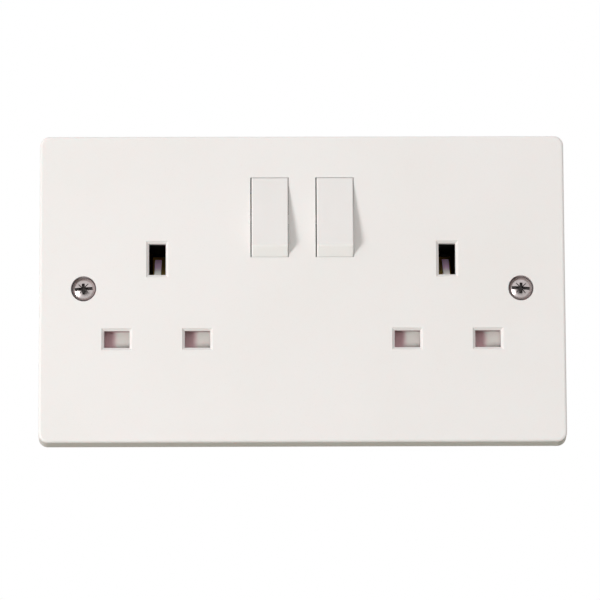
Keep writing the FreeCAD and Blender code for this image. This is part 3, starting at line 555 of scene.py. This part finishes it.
def threaded_rod(radius, pitch, top, foot):
    """A rod along Z with a helical thread, closed at both ends."""
    root = radius - THREAD_DEPTH * pitch
    bm = bmesh.new()
    crest_start, crest_end = THREAD_CREST
    profile = [(root, 0), (radius, crest_start), (radius, crest_end), (root, 1)]
    ridge = chain(bm, [(r, foot + (share - 1) * pitch) for r, share in profile])
    turns = math.ceil((top - foot) / pitch) + 2
    bmesh.ops.spin(
        bm, geom=ridge, cent=(0, 0, 0), axis=(0, 0, 1), dvec=(0, 0, pitch / THREAD_STEPS),
        angle=turns * 2 * math.pi, steps=turns * THREAD_STEPS,
    )
    bmesh.ops.remove_doubles(bm, verts=bm.verts, dist=WELD)
    bmesh.ops.recalc_face_normals(bm, faces=bm.faces)
    cut_open(bm, (0, 0, top), (0, 0, 1))
    cut_open(bm, (0, 0, foot), (0, 0, -1))
    return bm


def round_coil(coil_r, wire_r, length, turns):
    """A compression spring along +Z from the origin: round wire, with a closed turn at each end."""
    bm = bmesh.new()
    wire = bmesh.ops.create_circle(bm, cap_ends=True, segments=WIRE_SIDES, radius=wire_r)
    corners = wire["verts"]
    bmesh.ops.rotate(bm, cent=(0, 0, 0), matrix=Matrix.Rotation(math.pi / 2, 3, "X"), verts=corners)
    bmesh.ops.translate(bm, vec=(coil_r, 0, wire_r), verts=corners)
    end = bm.verts[:] + bm.edges[:] + bm.faces[:]
    closed_rise = CLOSED_RISE * wire_r
    open_rise = length - 2 * wire_r - 2 * closed_rise
    for count, rise in ((1, closed_rise), (turns - 2, open_rise), (1, closed_rise)):
        steps = count * COIL_STEPS
        spun = bmesh.ops.spin(
            bm, geom=end, cent=(0, 0, 0), axis=(0, 0, 1), dvec=(0, 0, rise / steps),
            angle=count * 2 * math.pi, steps=steps,
        )
        end = spun["geom_last"]
    return bm


# Screws, built along Z with the top of the head at +Z: the origin is at a countersunk head's edge or at a
# cheese head's seat

def turned(profile):
    """A closed turning about Z from a profile of (radius, height) points that starts and ends on the axis."""
    bm = bmesh.new()
    bmesh.ops.spin(
        bm, geom=chain(bm, profile), cent=(0, 0, 0), axis=(0, 0, 1), angle=2 * math.pi, steps=ROUND
    )
    bmesh.ops.remove_doubles(bm, verts=bm.verts, dist=WELD)
    bmesh.ops.recalc_face_normals(bm, faces=bm.faces)
    return bm


def bar(reach, half, top, depth, taper=1.0):
    """A bar along X whose foot may be smaller than its top."""
    bm = bmesh.new()
    bmesh.ops.create_cube(bm, size=2.0)
    for vert in bm.verts:
        share = 1 if vert.co.z > 0 else taper
        height = top if vert.co.z > 0 else top - depth
        vert.co = (vert.co.x * reach * share, vert.co.y * half * share, height)
    return bm


def shape_object(bm):
    """A bmesh as an object for modifiers to work on."""
    mesh = bpy.data.meshes.new("shape")
    bm.to_mesh(mesh)
    bm.free()
    made = bpy.data.objects.new("shape", mesh)
    bpy.context.scene.collection.objects.link(made)
    return made


def carved(bm, cutters):
    """Cut shapes out of a solid."""
    solid = shape_object(bm)
    tools = [shape_object(cutter) for cutter in cutters]
    for tool in tools:
        cut = solid.modifiers.new("cut", "BOOLEAN")
        cut.operation = "DIFFERENCE"
        cut.solver = "EXACT"
        cut.object = tool
    bpy.context.view_layer.update()
    final = solid.evaluated_get(bpy.context.evaluated_depsgraph_get())
    mesh = bpy.data.meshes.new_from_object(final)
    result = bmesh.new()
    result.from_mesh(mesh)
    for used in [solid] + tools:
        bpy.data.meshes.remove(used.data)
    bpy.data.meshes.remove(mesh)
    return result


def domed_head():
    """Raised countersunk head and neck, with a slot, a tapering cross and diagonal ticks."""
    profile = []
    for k in range(FIXING_RINGS + 1):
        r = FIXING_HEAD_R * k / FIXING_RINGS
        profile.append((r, math.sqrt(FIXING_BALL ** 2 - r ** 2) - FIXING_BALL + FIXING_DOME))
    cone_end = -FIXING_RIM - FIXING_CONE
    neck_end = cone_end - FIXING_NECK
    profile += [(FIXING_HEAD_R, -FIXING_RIM), (FIXING_NECK_R, cone_end)]
    profile += [(FIXING_NECK_R, neck_end), (0, neck_end)]
    top = FIXING_DOME + CUTTER_ABOVE
    cutters = [bar(SLOT_REACH, SLOT_HALF, top, SLOT_DEPTH + CUTTER_ABOVE)]
    for turn in CROSS_TURNS:
        cross = bar(CROSS_REACH, SLOT_HALF, top, SLOT_DEPTH + CROSS_DEPTH + CUTTER_ABOVE, CROSS_TAPER)
        cutters.append(moved(cross, about_z(turn)))
    for turn in TICK_TURNS:
        tick = bar(TICK_REACH, TICK_HALF, top, TICK_DEPTH + CUTTER_ABOVE)
        cutters.append(moved(tick, about_z(turn)))
    return carved(turned(profile), cutters)


def fixing_screw():
    """Domed head, threaded shank and a short blunt point."""
    bm = domed_head()
    thread_top = FIXING_THREAD - FIXING_LENGTH
    join_into(bm, threaded_rod(FIXING_R, FIXING_PITCH, thread_top, FIXING_POINT - FIXING_LENGTH))
    point = bmesh.new()
    bmesh.ops.create_cone(
        point, cap_ends=True, segments=ROUND, radius1=FIXING_R - FIXING_POINT,
        radius2=FIXING_R - THREAD_DEPTH * FIXING_PITCH, depth=FIXING_POINT,
    )
    join_into(bm, moved(point, Matrix.Translation((0, 0, FIXING_POINT / 2 - FIXING_LENGTH))))
    return bm


def slotted_screw(head_r, head, slot, shank_r, length, pitch):
    """Cheese-head screw: a round head with a slot as deep as it is wide, and a threaded shank."""
    profile = [(0, 0), (head_r, 0)]
    for k in range(EDGE_STEPS + 1):
        angle = math.pi / 2 * k / EDGE_STEPS
        inward = HEAD_EDGE * (1 - math.cos(angle))
        below = HEAD_EDGE * (1 - math.sin(angle))
        profile.append((head_r - inward, head - below))
    profile.append((0, head))
    bm = carved(turned(profile), [bar(2 * head_r, slot / 2, head + slot, 2 * slot)])
    join_into(bm, threaded_rod(shank_r, pitch, 0.0, -length))
    return bm


HEAD_FORWARD = Matrix.Rotation(math.pi / 2, 4, "X")
HEAD_BACK = Matrix.Rotation(-math.pi / 2, 4, "X")

screws = bmesh.new()
for side, s in SIDES.items():
    place = Matrix.Translation((s * FIXING_X, FIXING_EDGE_Y, 0))
    join_into(screws, moved(fixing_screw(), place @ HEAD_FORWARD @ about_z(FIXING_TURNS[side])))
add_piece("fixing_screw_pair", screws, "base", "nickel_steel", "fixing_screws")

for kind, screw, seat_y, places, slot in (
    ("terminal_screw", TERMINAL_SCREW, TERMINAL_SEAT_Y, TERMINAL_PLACES, "terminal_brass"),
    ("housing_screw", HOUSE_SCREW, HOUSE_SEAT_Y, HOUSE_PLACES, "zinc_steel"),
):
    screws = bmesh.new()
    for (x, z), turn in places.items():
        place = Matrix.Translation((x * MM, seat_y, z * MM))
        join_into(screws, moved(slotted_screw(**screw), place @ HEAD_BACK @ about_z(turn)))
    add_piece(kind + "_set", screws, "base", slot, kind + "s")


# Springs

def coil_piece(name, spring, place, body, node):
    return add_piece(name, moved(round_coil(**spring), place), body, "spring_steel", node)


for side, s in SIDES.items():
    foot_y, foot_z = SHUTTER_SPRING_FOOT
    place = Matrix.Translation((s * OUTLET_X, foot_y, foot_z))
    coil = coil_piece("shutter_coil_" + side, SHUTTER_SPRING, place, "base", "shutter_spring_" + side)
    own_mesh(coil)

    pivot = Matrix.Translation((s * ROCKER_X + ROCKER_SHIFT, ROCKER_Y, ROCKER_Z))
    tilt = Matrix.Rotation(-ROCKER_TILT, 4, "X")
    start = Matrix.Translation((0, -PLUNGER_SPRING_FRONT, 0)) @ HEAD_BACK
    place = pivot @ tilt @ start
    coil_piece("plunger_coil_" + side, PLUNGER_SPRING, place, "rocker_" + side, "plunger_spring_" + side)


# Studio

def stage_sheet(name, half, place, material):
    """A flat square that belongs to the studio, facing up before it is placed."""
    bm = bmesh.new()
    bmesh.ops.create_grid(bm, x_segments=1, y_segments=1, size=half)
    mesh = bpy.data.meshes.new(name)
    moved(bm, place).to_mesh(mesh)
    bm.free()
    mesh.materials.append(material)
    made = bpy.data.objects.new(name, mesh)
    bpy.context.scene.collection.objects.link(made)
    return made


def straight_rays(finish):
    """1 for rays that show the surroundings to the eye, straight, mirrored or through glass."""
    path = finish.node("LightPath", {}, {}, "Is Camera Ray")
    outputs = path.socket.node.outputs
    return path + Value(finish, outputs["Is Glossy Ray"]) + Value(finish, outputs["Is Transmission Ray"])


def floor_finish():
    """Grey paper that lights the plate from below and looks white away from its middle."""
    f = Finish("floor_paper")
    away = span(f.axis("X"), f.axis("Y")).step(*FLOOR_FADE)
    paper = f.node("BsdfDiffuse", {}, {"Color": FLOOR_COLOUR})
    glow = f.node("Emission", {}, {"Color": WHITE, "Strength": 1.0})
    f.close("OutputMaterial", f.node("MixShader", {}, {0: away * straight_rays(f), 1: paper, 2: glow}))
    return f.material


def flat_finish(name, colour):
    f = Finish(name)
    f.close("OutputMaterial", f.node("BsdfDiffuse", {}, {"Color": colour}))
    return f.material


def room_light():
    """A world that looks white and lights a little less than it looks."""
    world = bpy.data.worlds.new("studio")
    f = Finish("studio", world)
    room = f.node("Background", {}, {"Color": WHITE, "Strength": ROOM_LIGHT})
    white = f.node("Background", {}, {"Color": WHITE, "Strength": 1.0})
    f.close("OutputWorld", f.node("MixShader", {}, {0: straight_rays(f), 1: room, 2: white}))
    return world


def lamp(name, place, size, power):
    """A round lamp that faces the origin."""
    light = bpy.data.lights.new(name, "AREA")
    light.shape = "DISK"
    light.size = size
    light.energy = power
    made = bpy.data.objects.new(name, light)
    made.location = place
    made.rotation_euler = (-place).to_track_quat("-Z", "Y").to_euler()
    bpy.context.scene.collection.objects.link(made)


stage_sheet("floor", FLOOR_HALF, Matrix.Translation((0, 0, FLOOR_Z)), floor_finish())
for name, room in MIRRORED.items():
    upright = Matrix.Translation(room["place"]) @ HEAD_BACK
    sheet = stage_sheet(name, room["half"], upright, flat_finish(name, room["colour"]))
    for rays in ("camera", "diffuse", "shadow", "transmission"):
        setattr(sheet, "visible_" + rays, False)
for name, settings in LAMPS.items():
    lamp(name, **settings)
bpy.context.scene.world = room_light()


# Camera

look = Vector((
    -math.sin(CAMERA_SWING) * math.cos(CAMERA_RISE),
    math.cos(CAMERA_SWING) * math.cos(CAMERA_RISE),
    -math.sin(CAMERA_RISE),
))
level = look.cross(Vector((0, 0, 1))).normalized()
plumb = level.cross(look)
right = math.cos(CAMERA_ROLL) * level + math.sin(CAMERA_ROLL) * plumb
up = math.cos(CAMERA_ROLL) * plumb - math.sin(CAMERA_ROLL) * level
facing = Matrix((right, up, -look)).transposed().to_4x4()
camera_data = bpy.data.cameras.new("camera")
camera_data.sensor_width = SENSOR_WIDTH
camera_data.lens = FOCAL_PIXELS / IMAGE_PIXELS * SENSOR_WIDTH
camera_data.shift_x = (IMAGE_PIXELS / 2 - CENTRE_PIXELS[0]) / IMAGE_PIXELS
camera_data.shift_y = (CENTRE_PIXELS[1] - IMAGE_PIXELS / 2) / IMAGE_PIXELS
camera_data.clip_start = CLIP_START
camera = bpy.data.objects.new("camera", camera_data)
camera.matrix_world = Matrix.Translation(Vector((0, FACE_Y, 0)) - CAMERA_DISTANCE * look) @ facing
bpy.context.scene.collection.objects.link(camera)
bpy.context.scene.camera = camera
bpy.context.scene.view_settings.view_transform = "Standard"

bpy.context.view_layer.update()
